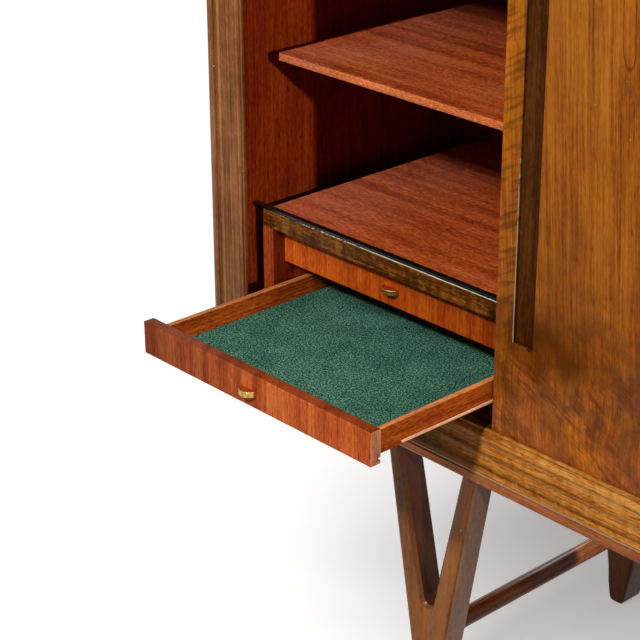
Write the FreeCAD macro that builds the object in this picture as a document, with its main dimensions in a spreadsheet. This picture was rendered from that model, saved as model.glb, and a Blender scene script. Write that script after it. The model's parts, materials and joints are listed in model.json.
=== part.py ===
import FreeCAD, Part
import math
import os
import re
import Sketcher

# Walnut highboard credenza on four V-shaped legs, with two sliding doors, a mitred moulding frame
# and an inner case of two cutlery drawers. Millimetres; +X along the front, +Y to the back, +Z up.
# The origin is on the floor, under the middle of the case.

doc = FreeCAD.newDocument("Credenza")
sheet = doc.addObject("Spreadsheet::Sheet", "Sheet")

sizes = {
    # case
    "case_length": 1900,
    "case_depth": 472,
    "base_thickness": 12,
    "top_thickness": 12,
    "side_thickness": 16,
    "lining_thickness": 12,
    "back_thickness": 8,
    "back_recess": 2,
    "floor_thickness": 15,
    "divider_thickness": 18,
    "back_rail_thickness": 22,
    "opening_height": 617,
    # moulding frame
    "frame_width": 69,
    "lip_thickness": 4.2,
    "lip_overlap": 16,
    "lip_rise": 2,
    "moulding_relief": 3.4,
    "fascia_reveal": 0.5,
    "fillet_width": 3.5,
    "ovolo_end": 16,
    "second_end": 33,
    "third_end": 54,
    "quirk_width": 0.9,
    "quirk_depth": 0.8,
    # arc radii of the moulding, as shares of the width of each member
    "ovolo_curve": 0.85,
    "hollow_curve": 1.6,
    "wide_hollow_curve": 2,
    "outer_curve": 1.2,
    # sliding doors
    "door_thickness": 10,
    "door_overlap": 18,
    "door_end_clearance": 1,
    "lip_clearance": 0.8,
    "door_gap": 1.6,
    "case_clearance": 1.2,
    "door_ride": 1,
    "door_slide": 486.5,
    "tongue_thickness": 5,
    "tongue_clearance": 0.5,
    "groove_depth": 8,
    "upper_tongue": 9,
    "upper_groove": 18,
    "seat_gap": 0.3,
    "track_ledge": 20,
    # recessed pulls
    "pull_margin": 29.6,
    "pull_top_width": 32.2,
    "pull_bottom_width": 31.4,
    "pull_bottom_margin": 133,
    "pull_top_margin": 40,
    "pull_pocket": 6.4,
    "pull_insert_thickness": 3,
    # drawer case
    "bay_gap": 34,
    "drawer_case_height": 169.3,
    "stile_width": 21.3,
    "stile_projection": 11.9,
    "front_recess": 20.3,
    "rail_height": 26,
    "bead_height": 4,
    "bead_width": 10,
    "case_top_thickness": 12,
    "case_length_inside": 407,
    # drawers
    "front_width": 440.3,
    "front_clearance": 0.9,
    "front_thickness": 17,
    "lower_front_bottom": 23.5,
    "lower_front_height": 46.6,
    "upper_front_bottom": 86,
    "upper_front_height": 52.4,
    "drawer_side_thickness": 8.5,
    "drawer_side_height": 33,
    "drawer_side_rise": 13.2,
    "drawer_length": 395,
    "drawer_left_inset": 27,
    "drawer_bottom_thickness": 5,
    "liner_thickness": 1.6,
    "liner_clearance": 0.3,
    "drawer_open": 252.9,
    "slip_width": 2.4,
    "slip_height": 3,
    "slip_lift": 3,
    "slip_setback": 34,
    "slip_clearance": 0.7,
    "block_clearance": 1,
    "hook_height": 4.5,
    "hook_depth": 3.5,
    "hook_gap": 4,
    "edge_ease": 0.8,
    # brass tabs
    "tab_width": 28,
    "tab_reach": 13.5,
    "tab_thickness": 8,
    "tab_lift": 2.3,
    "tab_shift": 3,
    "tab_round": 1,
    # shelves
    "shelf_thickness": 11.4,
    "shelf_height": 388.6,
    "shelf_front": 23.6,
    "shelf_depth": 403,
    "bearer_height": 20,
    "bearer_seat": 12,
    "bearer_front": 115,
    "bearer_length": 210,
    "dado_depth": 5,
    "fixed_shelf_front": 18,
    "fixed_shelf_depth": 405,
    # legs
    "leg_height": 408,
    "leg_depth": 43,
    "leg_from_end": 438,
    "leg_setback": 4,
    "foot_half": 12.5,
    "outer_angle": 9.74,
    "inner_angle": 12,
    "crotch_radius": 9.8,
    "crotch_height": 189,
    "inner_bevel": 5,
    "leg_edge": 2.5,
    "foot_round": 8,
    "dowel_diameter": 8,
    "dowel_length": 24,
    "dowel_fit": 0.1,
    "dowel_rise": 10,
    "stretcher_diameter": 27,
    "stretcher_height": 126,
    "tenon_diameter": 20,
    "tenon_length": 15,
}

for row, (name, size) in enumerate(sizes.items(), start=1):
    sheet.set(f"A{row}", name)
    sheet.set(f"B{row}", str(size))
    sheet.setAlias(f"B{row}", name)
doc.recompute()

# An edge this near a plane lies in it.
touch = 0.1

# Levels and planes, as formulas of the sizes above.
frame_bottom = "(leg_height + base_thickness)"
opening_bottom = f"({frame_bottom} + frame_width)"
opening_top = f"({opening_bottom} + opening_height)"
frame_top = f"({opening_top} + frame_width)"
track_top = f"({opening_bottom} - lip_rise)"
upper_track_bottom = f"({opening_top} + lip_rise)"
half_length = "(case_length / 2)"
half_depth = "(case_depth / 2)"
side_inner = f"({half_length} - side_thickness)"
inner_half = f"({half_length} - frame_width + lip_overlap)"
carcass_front = f"(-{half_depth} + fascia_reveal + moulding_relief + lip_thickness)"
back_front = f"({half_depth} - back_recess - back_thickness)"
front_door_face = f"({carcass_front} + lip_clearance)"
rear_door_face = f"({front_door_face} + door_thickness + door_gap)"
inner_front = f"({rear_door_face} + door_thickness + case_clearance)"
door_width = f"({inner_half} - door_end_clearance + door_overlap / 2)"
door_bottom = f"({track_top} + door_ride)"
door_height = f"({upper_track_bottom} - door_ride - {door_bottom})"
lower_tongue = "(groove_depth + door_ride - seat_gap)"
groove_width = "(tongue_thickness + 2 * tongue_clearance)"

case_side = "(stile_width - stile_projection)"
case_left = f"(-{inner_half} + bay_gap)"
opening_left = f"({case_left} + {case_side})"
opening_right = f"({opening_left} + front_width + 2 * front_clearance)"
case_right = f"({opening_right} + {case_side})"
divider_left = f"({case_right} + bay_gap)"
divider_right = f"({divider_left} + divider_thickness)"
bead_top = f"({track_top} + drawer_case_height)"
rail_top = f"({bead_top} - bead_height)"
rail_bottom = f"({rail_top} - rail_height)"
front_plane = f"({inner_front} + front_recess)"
case_back = f"({front_plane} + case_length_inside)"
stile_back = f"({front_plane} + seat_gap)"
front_left = f"({opening_left} + front_clearance)"
front_right = f"({front_left} + front_width)"


def formula(text):
    return re.sub(r"[a-z_]+", lambda m: "Sheet." + m.group() if m.group() in sizes else m.group(), text)


def number(text):
    return float(sheet.evalExpression(formula(text)))


def place(item, x="0", y="0", z="0"):
    for axis, text in zip("xyz", (x, y, z)):
        item.setExpression(f"Placement.Base.{axis}", formula(text))
    return item


def board(label, x, y, z):
    box = doc.addObject("Part::Box", label)
    for size, (low, high) in zip(("Length", "Width", "Height"), (x, y, z)):
        box.setExpression(size, formula(f"{high} - ({low})"))
    return place(box, x[0], y[0], z[0])


def new_body(label):
    return doc.addObject("PartDesign::Body", label)


def new_sketch(body, role, name, offset="0"):
    plane = [feature for feature in body.Origin.OriginFeatures if feature.Role == role][0]
    sketch = body.newObject("Sketcher::SketchObject", f"{body.Label}_{name}")
    sketch.AttachmentSupport = [(plane, "")]
    sketch.MapMode = "FlatFace"
    sketch.setExpression("AttachmentOffset.Base.z", formula(offset))
    return sketch


# An outline is a list of corners (x, y). A third item makes the side that ends there an arc of
# that radius, and a fourth, "hollow", puts the arc's centre on the right of the way round.
def outline(sketch, corners):
    first = sketch.GeometryCount
    spots = [FreeCAD.Vector(number(c[0]), number(c[1]), 0) for c in corners]
    ends = []
    for i, corner in enumerate(corners):
        start, end = spots[i - 1], spots[i]
        if len(corner) == 2:
            sketch.addGeometry(Part.LineSegment(start, end))
            ends.append((1, 2))
            continue
        radius = number(corner[2])
        chord = end - start
        side = -1 if corner[-1] == "hollow" else 1
        rise = math.sqrt(radius ** 2 - chord.Length ** 2 / 4)
        across = FreeCAD.Vector(-chord.y, chord.x, 0).normalize()
        centre = (start + end) * 0.5 + across * rise * side
        way = (start, end) if side == 1 else (end, start)
        turn = [math.atan2(spot.y - centre.y, spot.x - centre.x) for spot in way]
        if turn[1] < turn[0]:
            turn[1] += 2 * math.pi
        circle = Part.Circle(centre, FreeCAD.Vector(0, 0, 1), radius)
        sketch.addGeometry(Part.ArcOfCircle(circle, turn[0], turn[1]))
        ends.append((1, 2) if side == 1 else (2, 1))
    count = len(corners)
    for i in range(count):
        after = (i + 1) % count
        sketch.addConstraint(Sketcher.Constraint("Coincident", first + i, ends[i][1], first + after, ends[after][0]))
    for i, corner in enumerate(corners):
        for kind, text in zip(("DistanceX", "DistanceY"), corner):
            bind(sketch, Sketcher.Constraint(kind, -1, 1, first + i, ends[i][1], number(text)), text)
        if len(corner) > 2:
            bind(sketch, Sketcher.Constraint("Radius", first + i, number(corner[2])), corner[2])
    return sketch


def ring(sketch, x, y, diameter):
    centre = FreeCAD.Vector(number(x), number(y), 0)
    circle = sketch.addGeometry(Part.Circle(centre, FreeCAD.Vector(0, 0, 1), number(diameter) / 2))
    bind(sketch, Sketcher.Constraint("DistanceX", -1, 1, circle, 3, number(x)), x)
    bind(sketch, Sketcher.Constraint("DistanceY", -1, 1, circle, 3, number(y)), y)
    bind(sketch, Sketcher.Constraint("Diameter", circle, number(diameter)), diameter)


def bind(sketch, constraint, text):
    index = sketch.addConstraint(constraint)
    sketch.setExpression(f"Constraints[{index}]", formula(text))


def pad(body, sketch, length, sides="One side", reverse=False):
    feature = body.newObject("PartDesign::Pad", f"{sketch.Name}_pad")
    feature.Profile = sketch
    feature.setExpression("Length", formula(length))
    feature.SideType = sides
    feature.Reversed = reverse
    doc.recompute()
    return feature


def pocket(body, sketch, depth, sides="One side", reverse=False):
    before = body.Shape.Volume
    feature = body.newObject("PartDesign::Pocket", f"{sketch.Name}_pocket")
    feature.Profile = sketch
    feature.Type = "Length"
    feature.setExpression("Length", formula(depth))
    feature.SideType = sides
    feature.Reversed = reverse
    doc.recompute()
    if body.Shape.Volume > before - touch:
        raise RuntimeError(f"{sketch.Name} cuts nothing")
    return feature


def ease(body, chosen, size, kind="PartDesign::Chamfer"):
    tip = body.Tip
    edges = [f"Edge{i}" for i, edge in enumerate(tip.Shape.Edges, start=1) if chosen(edge)]
    feature = body.newObject(kind, f"{body.Label}_eased")
    feature.Base = (tip, edges)
    feature.setExpression("Radius" if kind.endswith("Fillet") else "Size", formula(size))
    doc.recompute()
    return feature


def along(edge, axis):
    line = edge.lastVertex().Point - edge.firstVertex().Point
    return edge.Curve.TypeId == "Part::GeomLine" and abs(line[axis]) > edge.Length - touch


def rectangle(x0, x1, y0, y1):
    return [(x0, y0), (x1, y0), (x1, y1), (x0, y1)]


# Moulding frame: one stepped section with an ovolo, a hollow and an outer round, mitred at both
# ends. In the body's own frame X runs along it, -Y is forward and Z goes from the outer edge in.
def moulding(label, length, x, z, turn):
    body = new_body(label)
    top = "(lip_thickness + moulding_relief)"
    step = "quirk_depth"
    span = "frame_width"
    section = new_sketch(body, "YZ_Plane", "section", f"-{length} / 2")
    outline(section, [
        ("0", "0"),
        ("0", span),
        ("-lip_thickness", span),
        ("-lip_thickness", f"{span} - fillet_width"),
        (f"-{top} + {step}", f"{span} - ovolo_end", "(ovolo_end - fillet_width) * ovolo_curve"),
        (f"-{top} + 2 * {step}", f"{span} - ovolo_end"),
        (f"-{top} + 2 * {step}", f"{span} - ovolo_end - quirk_width"),
        (f"-{top} + {step} / 2", f"{span} - second_end", "(second_end - ovolo_end) * hollow_curve", "hollow"),
        (f"-{top} + 1.5 * {step}", f"{span} - second_end"),
        (f"-{top} + 1.5 * {step}", f"{span} - second_end - quirk_width"),
        (f"-{top}", f"{span} - third_end", "(third_end - second_end) * wide_hollow_curve", "hollow"),
        (f"-{top} + {step}", f"{span} - third_end"),
        (f"-{top} + {step}", f"{span} - third_end - quirk_width"),
        (f"-{top} + 1.5 * {step}", "0", f"({span} - third_end) * outer_curve"),
    ])
    pad(body, section, length)
    mitre = new_sketch(body, "XZ_Plane", "mitre")
    for side in ("", "-"):
        end = f"{side}{length} / 2"
        inner = f"{side}({length} / 2 - {span})"
        corners = [(end, "0"), (end, span), (inner, span)]
        outline(mitre, corners if side == "" else corners[::-1])
    pocket(body, mitre, f"4 * {top}", "Symmetric")
    place(body, x, carcass_front, z)
    body.Placement.Rotation = FreeCAD.Rotation(FreeCAD.Vector(0, 1, 0), turn)


frame_height = f"({frame_top} - {frame_bottom})"
frame_middle = f"(({frame_top} + {frame_bottom}) / 2)"
moulding("moulding_bottom", "case_length", "0", frame_bottom, 0)
moulding("moulding_top", "case_length", "0", frame_top, 180)
moulding("moulding_left", frame_height, f"-{half_length}", frame_middle, 90)
moulding("moulding_right", frame_height, half_length, frame_middle, -90)

# Case: double-walled ends, a boxed base, a top, a back and two dividers.
full = (f"-{half_length}", half_length)
between_sides = (f"-{side_inner}", side_inner)
whole_depth = (f"-{half_depth}", half_depth)
upright = (frame_bottom, frame_top)


def eased_slab(label, z0, thickness):
    body = new_body(label)
    sketch = new_sketch(body, "XY_Plane", "outline")
    outline(sketch, rectangle(full[0], full[1], whole_depth[0], whole_depth[1]))
    pad(body, sketch, thickness)
    return place(body, "0", "0", z0)


leg_x = f"({half_length} - leg_from_end)"
leg_y = f"({half_depth} - leg_setback - leg_depth / 2)"
arm_outer = "(foot_half + leg_height * tan(outer_angle))"
arm_inner = ("(crotch_radius * cos(inner_angle) + (leg_height - crotch_height"
             " + crotch_radius * sin(inner_angle)) * tan(inner_angle))")
arm_middle = f"(({arm_outer} + {arm_inner}) / 2)"
dowel_spots = [(f"{sx}{leg_x} + {arm}{arm_middle}", f"{sy}{leg_y}")
               for sx in ("", "-") for sy in ("", "-") for arm in ("", "-1 * ")]

base = eased_slab("base_board", "leg_height", "base_thickness")
base_holes = new_sketch(base, "XY_Plane", "dowel_holes")
for x, y in dowel_spots:
    ring(base_holes, x, y, "dowel_diameter + 2 * dowel_fit")
pocket(base, base_holes, "dowel_rise + dowel_fit", reverse=True)
ease(base, lambda e: e.CenterOfMass.y < number(f"-{half_depth}") + touch and along(e, 0), "edge_ease")

top = eased_slab("top_board", frame_top, "top_thickness")
ease(top, lambda e: e.CenterOfMass.z > number("top_thickness") - touch, "edge_ease")

for name, sign in (("left", -1), ("right", 1)):
    outer = (full[0], between_sides[0]) if sign < 0 else (between_sides[1], full[1])
    lining = (f"-{inner_half} - lining_thickness", f"-{inner_half}")
    if sign > 0:
        lining = (inner_half, f"{inner_half} + lining_thickness")
    board(f"{name}_side", outer, (carcass_front, half_depth), upright)
    board(f"{name}_lining", lining, (carcass_front, back_front), (track_top, frame_top))

board("back_panel", between_sides, (back_front, f"{back_front} + back_thickness"), upright)
floor_bottom = f"({track_top} - floor_thickness)"
board("floor_board", between_sides, (inner_front, back_front), (floor_bottom, track_top))
board("base_back_rail", between_sides, (f"{back_front} - back_rail_thickness", back_front),
      (frame_bottom, floor_bottom))

front_groove = f"({front_door_face} + door_thickness / 2)"
rear_groove = f"({rear_door_face} + door_thickness / 2)"


def groove(middle, mouth, floor):
    near = f"{middle} - {groove_width} / 2"
    far = f"{middle} + {groove_width} / 2"
    return [(near, mouth), (near, floor), (far, floor), (far, mouth)]


lower_track = new_body("lower_track")
section = new_sketch(lower_track, "YZ_Plane", "section", between_sides[0])
groove_floor = f"{track_top} - groove_depth"
outline(section, [
    (carcass_front, frame_bottom),
    (carcass_front, track_top),
    *groove(front_groove, track_top, groove_floor),
    *groove(rear_groove, track_top, groove_floor),
    (inner_front, track_top),
    (inner_front, floor_bottom),
    (f"{inner_front} + track_ledge", floor_bottom),
    (f"{inner_front} + track_ledge", frame_bottom),
])
pad(lower_track, section, f"2 * {side_inner}")

upper_track = new_body("upper_track")
section = new_sketch(upper_track, "YZ_Plane", "section", f"-{inner_half}")
groove_roof = f"{upper_track_bottom} + upper_groove"
outline(section, [
    (carcass_front, frame_top),
    (carcass_front, upper_track_bottom),
    *groove(front_groove, upper_track_bottom, groove_roof),
    *groove(rear_groove, upper_track_bottom, groove_roof),
    (inner_front, upper_track_bottom),
    (inner_front, frame_top),
])
pad(upper_track, section, f"2 * {inner_half}")

shelf_top = f"({track_top} + shelf_height)"
shelf_bottom = f"({shelf_top} - shelf_thickness)"
fixed_front = f"({inner_front} + fixed_shelf_front)"
fixed_depth = (fixed_front, f"{fixed_front} + fixed_shelf_depth")


# A divider is a panel with a stopped housing for a fixed shelf on each side that carries one.
def divider(label, x0, housed_left, housed_right):
    body = new_body(label)
    sketch = new_sketch(body, "YZ_Plane", "outline")
    outline(sketch, rectangle(inner_front, back_front, track_top, frame_top))
    pad(body, sketch, "divider_thickness")
    for name, wanted, offset, reverse in (("left", housed_left, "0", True),
                                          ("right", housed_right, "divider_thickness", False)):
        if wanted:
            housing = new_sketch(body, "YZ_Plane", f"{name}_housing", offset)
            outline(housing, rectangle(*fixed_depth, shelf_bottom, shelf_top))
            pocket(body, housing, "dado_depth", reverse=reverse)
    place(body, x0)


divider("left_divider", divider_left, False, True)
divider("right_divider", f"-1 * {divider_right}", True, True)


def shelf(label, x, y, z):
    body = new_body(label)
    sketch = new_sketch(body, "XY_Plane", "outline")
    outline(sketch, rectangle("0", f"{x[1]} - ({x[0]})", "0", f"{y[1]} - ({y[0]})"))
    pad(body, sketch, "shelf_thickness")
    ease(body, lambda e: e.CenterOfMass.y < touch and along(e, 0), "edge_ease")
    place(body, x[0], y[0], z)


shelf_y = f"({inner_front} + shelf_front)"
shelf("left_shelf", (case_left, case_right), (shelf_y, f"{shelf_y} + shelf_depth"), shelf_bottom)
shelf("centre_shelf", (f"{divider_right} - dado_depth", f"-1 * {divider_right} + dado_depth"),
      fixed_depth, shelf_bottom)
shelf("right_shelf", (f"-1 * {divider_left} - dado_depth", inner_half), fixed_depth, shelf_bottom)

bearer_y = f"({shelf_y} + bearer_front)"
bearer_run = (bearer_y, f"{bearer_y} + bearer_length")
bearer_z = (f"{shelf_bottom} - bearer_height", shelf_bottom)
board("left_bearer", (f"-{inner_half}", f"{case_left} + bearer_seat"), bearer_run, bearer_z)
board("right_bearer", (f"{case_right} - bearer_seat", divider_left), bearer_run, bearer_z)


# Sliding doors: a panel with a tongue above and below, and a tapering channel that holds the pull.
# The pull's channel is near the edge that leads when the door opens.
def door(label, x, y, pull_right):
    body = new_body(label)
    near = "(door_thickness - tongue_thickness) / 2"
    far = "(door_thickness + tongue_thickness) / 2"
    section = new_sketch(body, "YZ_Plane", "section")
    outline(section, [
        ("0", "0"),
        (near, "0"),
        (near, f"-{lower_tongue}"),
        (far, f"-{lower_tongue}"),
        (far, "0"),
        ("door_thickness", "0"),
        ("door_thickness", door_height),
        (far, door_height),
        (far, f"{door_height} + door_ride + upper_tongue"),
        (near, f"{door_height} + door_ride + upper_tongue"),
        (near, door_height),
        ("0", door_height),
    ])
    pad(body, section, door_width)
    channel = new_sketch(body, "XZ_Plane", "channel")
    outline(channel, pull_outline(pull_right))
    pocket(body, channel, "pull_pocket")
    place(body, x, y, door_bottom)

    insert = new_body(f"{label}_pull")
    sketch = new_sketch(insert, "XZ_Plane", "outline")
    outline(sketch, pull_outline(pull_right))
    pad(insert, sketch, "pull_insert_thickness", reverse=True)
    place(insert, x, f"{y} + pull_pocket - pull_insert_thickness", door_bottom)


def pull_outline(pull_right):
    low = "pull_bottom_margin"
    high = f"{door_height} - pull_top_margin"
    outer = "pull_margin"
    taper = "(pull_top_width - pull_bottom_width)"
    corners = [
        (f"{outer} + {taper}", low),
        (f"{outer} + pull_top_width", low),
        (f"{outer} + pull_top_width", high),
        (outer, high),
    ]
    if pull_right:
        corners = [(f"{door_width} - ({x})", z) for x, z in corners[::-1]]
    return corners


closed_left = f"(-{inner_half} + door_end_clearance)"
door("left_door", f"{closed_left} + door_slide", front_door_face, False)
door("right_door", f"{inner_half} - door_end_clearance - {door_width}", rear_door_face, True)

# Drawer case: two sides, a top, a front frame with a walnut rail, an ebonised bead and a guide
# block. The runner slips of the drawers slide in grooves of the block and of the right side.
case_run = (stile_back, case_back)
case_top_z = (f"{bead_top} - case_top_thickness", bead_top)
board("case_top", (case_left, case_right), (f"{inner_front} + bead_width", case_back), case_top_z)
board("case_left_side", (case_left, opening_left), case_run, (track_top, case_top_z[0]))
board("case_rail", (f"{opening_left} - stile_width", f"{opening_right} + stile_width"),
      (inner_front, f"{inner_front} + bead_width"), (rail_bottom, rail_top))
board("case_bead", (f"-{inner_half}", divider_left), (inner_front, f"{inner_front} + bead_width"),
      (rail_top, bead_top))
stile_run = (inner_front, stile_back)
board("case_left_stile", (f"{opening_left} - stile_width", opening_left), stile_run, (track_top, rail_bottom))

slip_levels = [f"({track_top} + {bottom} + drawer_side_rise + slip_lift)"
               for bottom in ("lower_front_bottom", "upper_front_bottom")]
slot_depth = "(slip_width + slip_clearance)"


# Slots are cut in the face at the sketch's own plane, and run from one end of the piece to a stop.
def slotted(label, x, y, z, slot_face, slot_end):
    body = new_body(label)
    sketch = new_sketch(body, "YZ_Plane", "outline")
    outline(sketch, rectangle(y[0], y[1], z[0], z[1]))
    pad(body, sketch, f"{x[1]} - ({x[0]})")
    slots = new_sketch(body, "YZ_Plane", "slots", "0" if slot_face == "left" else f"{x[1]} - ({x[0]})")
    for level in slip_levels:
        outline(slots, rectangle(y[0], slot_end, f"{level} - seat_gap", f"{level} + slip_height + slip_clearance"))
    pocket(body, slots, slot_depth, reverse=slot_face == "left")
    place(body, x[0])


slip_stop = f"({front_plane} + drawer_length + seat_gap)"
slotted("case_right_side", (opening_right, case_right), case_run, (track_top, case_top_z[0]), "left", slip_stop)
slotted("case_right_stile", (opening_right, f"{opening_right} + stile_width"), stile_run,
        (track_top, rail_bottom), "left", stile_back)
side_left = f"({front_left} + drawer_left_inset)"
block_run = (f"{front_plane} + front_thickness + block_clearance", case_back)
slotted("case_guide_block", (opening_left, f"{side_left} - block_clearance"), block_run,
        (track_top, case_top_z[0]), "right", slip_stop)


# Drawers: a front with a hooked lip behind its lower edge, two sides, a back, a bottom with a
# baize liner, two runner slips and a brass tab.
def drawer(name, bottom, height, out):
    z0 = f"({track_top} + {bottom})"
    y0 = f"({front_plane} - {out})"
    inner_y = f"({y0} + front_thickness)"
    end_y = f"({y0} + drawer_length)"
    low = f"({z0} + drawer_side_rise)"
    high = f"({low} + drawer_side_height)"
    side_right = f"({front_right} - drawer_side_thickness)"
    left_inner = f"({side_left} + drawer_side_thickness)"
    back_y = f"({end_y} - drawer_side_thickness)"

    front = new_body(f"{name}_front")
    section = new_sketch(front, "YZ_Plane", "section")
    thick = "front_thickness"
    outline(section, [
        ("0", "0"),
        (thick, "0"),
        (thick, "hook_height"),
        (f"{thick} - hook_depth", "hook_height"),
        (f"{thick} - hook_depth", "hook_height + hook_gap"),
        (thick, "hook_height + hook_gap"),
        (thick, height),
        ("0", height),
    ])
    pad(front, section, "front_width")
    ease(front, lambda e: e.CenterOfMass.y < touch, "edge_ease")
    place(front, front_left, y0, z0)

    run = (inner_y, end_y)
    rise = (low, high)
    board(f"{name}_left_side", (side_left, left_inner), run, rise)
    board(f"{name}_right_side", (side_right, front_right), run, rise)
    board(f"{name}_back", (left_inner, side_right), (back_y, end_y), rise)
    inside = (left_inner, side_right)
    bottom_top = f"{low} + drawer_bottom_thickness"
    board(f"{name}_bottom", inside, (inner_y, back_y), (low, bottom_top))
    board(f"{name}_liner", (f"{left_inner} + liner_clearance", f"{side_right} - liner_clearance"),
          (f"{inner_y} + liner_clearance", f"{back_y} - liner_clearance"),
          (bottom_top, f"{bottom_top} + liner_thickness"))
    slip_run = (f"{inner_y} + slip_setback", end_y)
    slip_z = (f"{low} + slip_lift", f"{low} + slip_lift + slip_height")
    board(f"{name}_left_slip", (f"{side_left} - slip_width", side_left), slip_run, slip_z)
    board(f"{name}_right_slip", (front_right, f"{front_right} + slip_width"), slip_run, slip_z)

    tab = new_body(f"{name}_tab")
    plate = new_sketch(tab, "XY_Plane", "plate")
    half = "tab_width / 2"
    arc = f"(({half}) ^ 2 + tab_reach ^ 2) / (2 * tab_reach)"
    outline(plate, [(half, "0"), (f"-{half}", "0"), (half, "0", arc)][1:])
    pad(tab, plate, "tab_thickness")
    ease(tab, lambda e: e.Curve.TypeId == "Part::GeomCircle", "tab_round", "PartDesign::Fillet")
    place(tab, f"{front_left} + front_width / 2 - tab_shift", y0, f"{z0} + {height} / 2 + tab_lift - tab_thickness")


drawer("lower_drawer", "lower_front_bottom", "lower_front_height", "drawer_open")
drawer("upper_drawer", "upper_front_bottom", "upper_front_height", "0")


# V-shaped legs: two tapering arms that part above a drilled crotch, with eased edges.
def leg(label, x, y, inward):
    body = new_body(label)
    sketch = new_sketch(body, "XZ_Plane", "outline")
    tangent_x = "crotch_radius * cos(inner_angle)"
    tangent_z = "crotch_height - crotch_radius * sin(inner_angle)"
    outline(sketch, [
        ("-foot_half", "0"),
        ("foot_half", "0"),
        (arm_outer, "leg_height"),
        (arm_inner, "leg_height"),
        (tangent_x, tangent_z),
        (f"-1 * {tangent_x}", tangent_z, "crotch_radius", "hollow"),
        (f"-1 * {arm_inner}", "leg_height"),
        (f"-1 * {arm_outer}", "leg_height"),
    ])
    pad(body, sketch, "leg_depth", "Symmetric")
    ease(body, lambda e: e.CenterOfMass.z < touch and along(e, 1), "foot_round", "PartDesign::Fillet")
    ease(body, lambda e: e.Length > number("leg_height - foot_round"), "leg_edge", "PartDesign::Fillet")
    crotch_bottom = number("crotch_height - crotch_radius")
    rim = number("leg_height") - touch
    flank = number("leg_depth / 2") - touch
    whole = number("leg_height - foot_round")
    ease(body, lambda e: abs(e.CenterOfMass.y) > flank and crotch_bottom < e.CenterOfMass.z + touch < rim
         and e.Length < whole, "inner_bevel")
    mortise = new_sketch(body, "XZ_Plane", "mortise", f"{inward} * leg_depth / 2")
    ring(mortise, "0", "stretcher_height", "tenon_diameter + 2 * dowel_fit")
    pocket(body, mortise, "tenon_length + dowel_fit", reverse=inward == "-1")
    holes = new_sketch(body, "XY_Plane", "dowel_holes", "leg_height")
    for side in ("", "-1 * "):
        ring(holes, f"{side}{arm_middle}", "0", "dowel_diameter + 2 * dowel_fit")
    pocket(body, holes, "dowel_length - dowel_rise + dowel_fit")
    place(body, x, y)


def stretcher(label, x):
    body = new_body(label)
    sketch = new_sketch(body, "YZ_Plane", "section")
    shoulder = f"({leg_y} - leg_depth / 2)"
    outline(sketch, [
        (f"-{shoulder} - tenon_length", "0"),
        (f"{shoulder} + tenon_length", "0"),
        (f"{shoulder} + tenon_length", "tenon_diameter / 2"),
        (shoulder, "tenon_diameter / 2"),
        (shoulder, "stretcher_diameter / 2"),
        (f"-{shoulder}", "stretcher_diameter / 2"),
        (f"-{shoulder}", "tenon_diameter / 2"),
        (f"-{shoulder} - tenon_length", "tenon_diameter / 2"),
    ])
    turned = body.newObject("PartDesign::Revolution", f"{label}_turned")
    turned.Profile = sketch
    turned.ReferenceAxis = (sketch, ["H_Axis"])
    turned.Angle = 360
    doc.recompute()
    place(body, x, "0", "stretcher_height")


for name, sign in (("left", "-"), ("right", "")):
    leg(f"front_{name}_leg", f"{sign}{leg_x}", f"-{leg_y}", "-1")
    leg(f"back_{name}_leg", f"{sign}{leg_x}", leg_y, "1")
    stretcher(f"{name}_stretcher", f"{sign}{leg_x}")

pins = []
for i, (x, y) in enumerate(dowel_spots):
    pin = doc.addObject("Part::Cylinder", f"dowel_{i}")
    pin.setExpression("Radius", formula("dowel_diameter / 2"))
    pin.setExpression("Height", formula("dowel_length"))
    pins.append(place(pin, x, y, "leg_height + dowel_rise - dowel_length"))
dowels = doc.addObject("Part::Compound", "leg_dowels")
dowels.Links = pins

doc.recompute()
nodes = [item for item in doc.Objects if item.TypeId in ("PartDesign::Body", "Part::Box", "Part::Compound")]
for item in doc.Objects:
    if "Invalid" in item.State or "Error" in item.State:
        raise RuntimeError(f"{item.Label} did not build: {item.State}")
for node in nodes:
    if node.Shape.isNull() or not node.Shape.isValid():
        raise RuntimeError(f"{node.Label} has no valid shape")

os.makedirs("parts", exist_ok=True)
for node in nodes:
    node.Shape.exportStep(f"parts/{node.Label}.step")
print(len(nodes), "pieces written")
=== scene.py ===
import json
import math

import bmesh
import bpy
from mathutils import Matrix, Vector, noise
from mathutils.geometry import intersect_point_line


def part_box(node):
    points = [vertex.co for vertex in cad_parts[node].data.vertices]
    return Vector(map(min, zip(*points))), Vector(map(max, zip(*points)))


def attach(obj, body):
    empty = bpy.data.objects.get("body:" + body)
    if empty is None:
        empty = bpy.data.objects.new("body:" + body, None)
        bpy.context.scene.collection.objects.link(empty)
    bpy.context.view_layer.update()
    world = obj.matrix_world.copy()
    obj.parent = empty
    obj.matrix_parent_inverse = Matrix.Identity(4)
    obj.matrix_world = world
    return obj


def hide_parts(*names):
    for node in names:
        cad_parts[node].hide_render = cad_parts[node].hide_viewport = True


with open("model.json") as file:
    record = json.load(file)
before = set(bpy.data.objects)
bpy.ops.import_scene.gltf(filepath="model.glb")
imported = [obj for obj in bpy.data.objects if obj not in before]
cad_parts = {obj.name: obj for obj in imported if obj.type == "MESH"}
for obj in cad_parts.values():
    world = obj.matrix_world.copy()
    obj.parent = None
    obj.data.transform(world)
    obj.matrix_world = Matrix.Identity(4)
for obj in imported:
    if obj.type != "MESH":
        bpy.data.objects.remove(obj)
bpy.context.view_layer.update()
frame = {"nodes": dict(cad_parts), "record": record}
scene = bpy.context.scene
scene.view_settings.view_transform = "Standard"
bodyOf = {node: body for body, nodes in frame["record"]["behaviour"]["bodies"].items() for node in nodes}


# shader building

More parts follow.
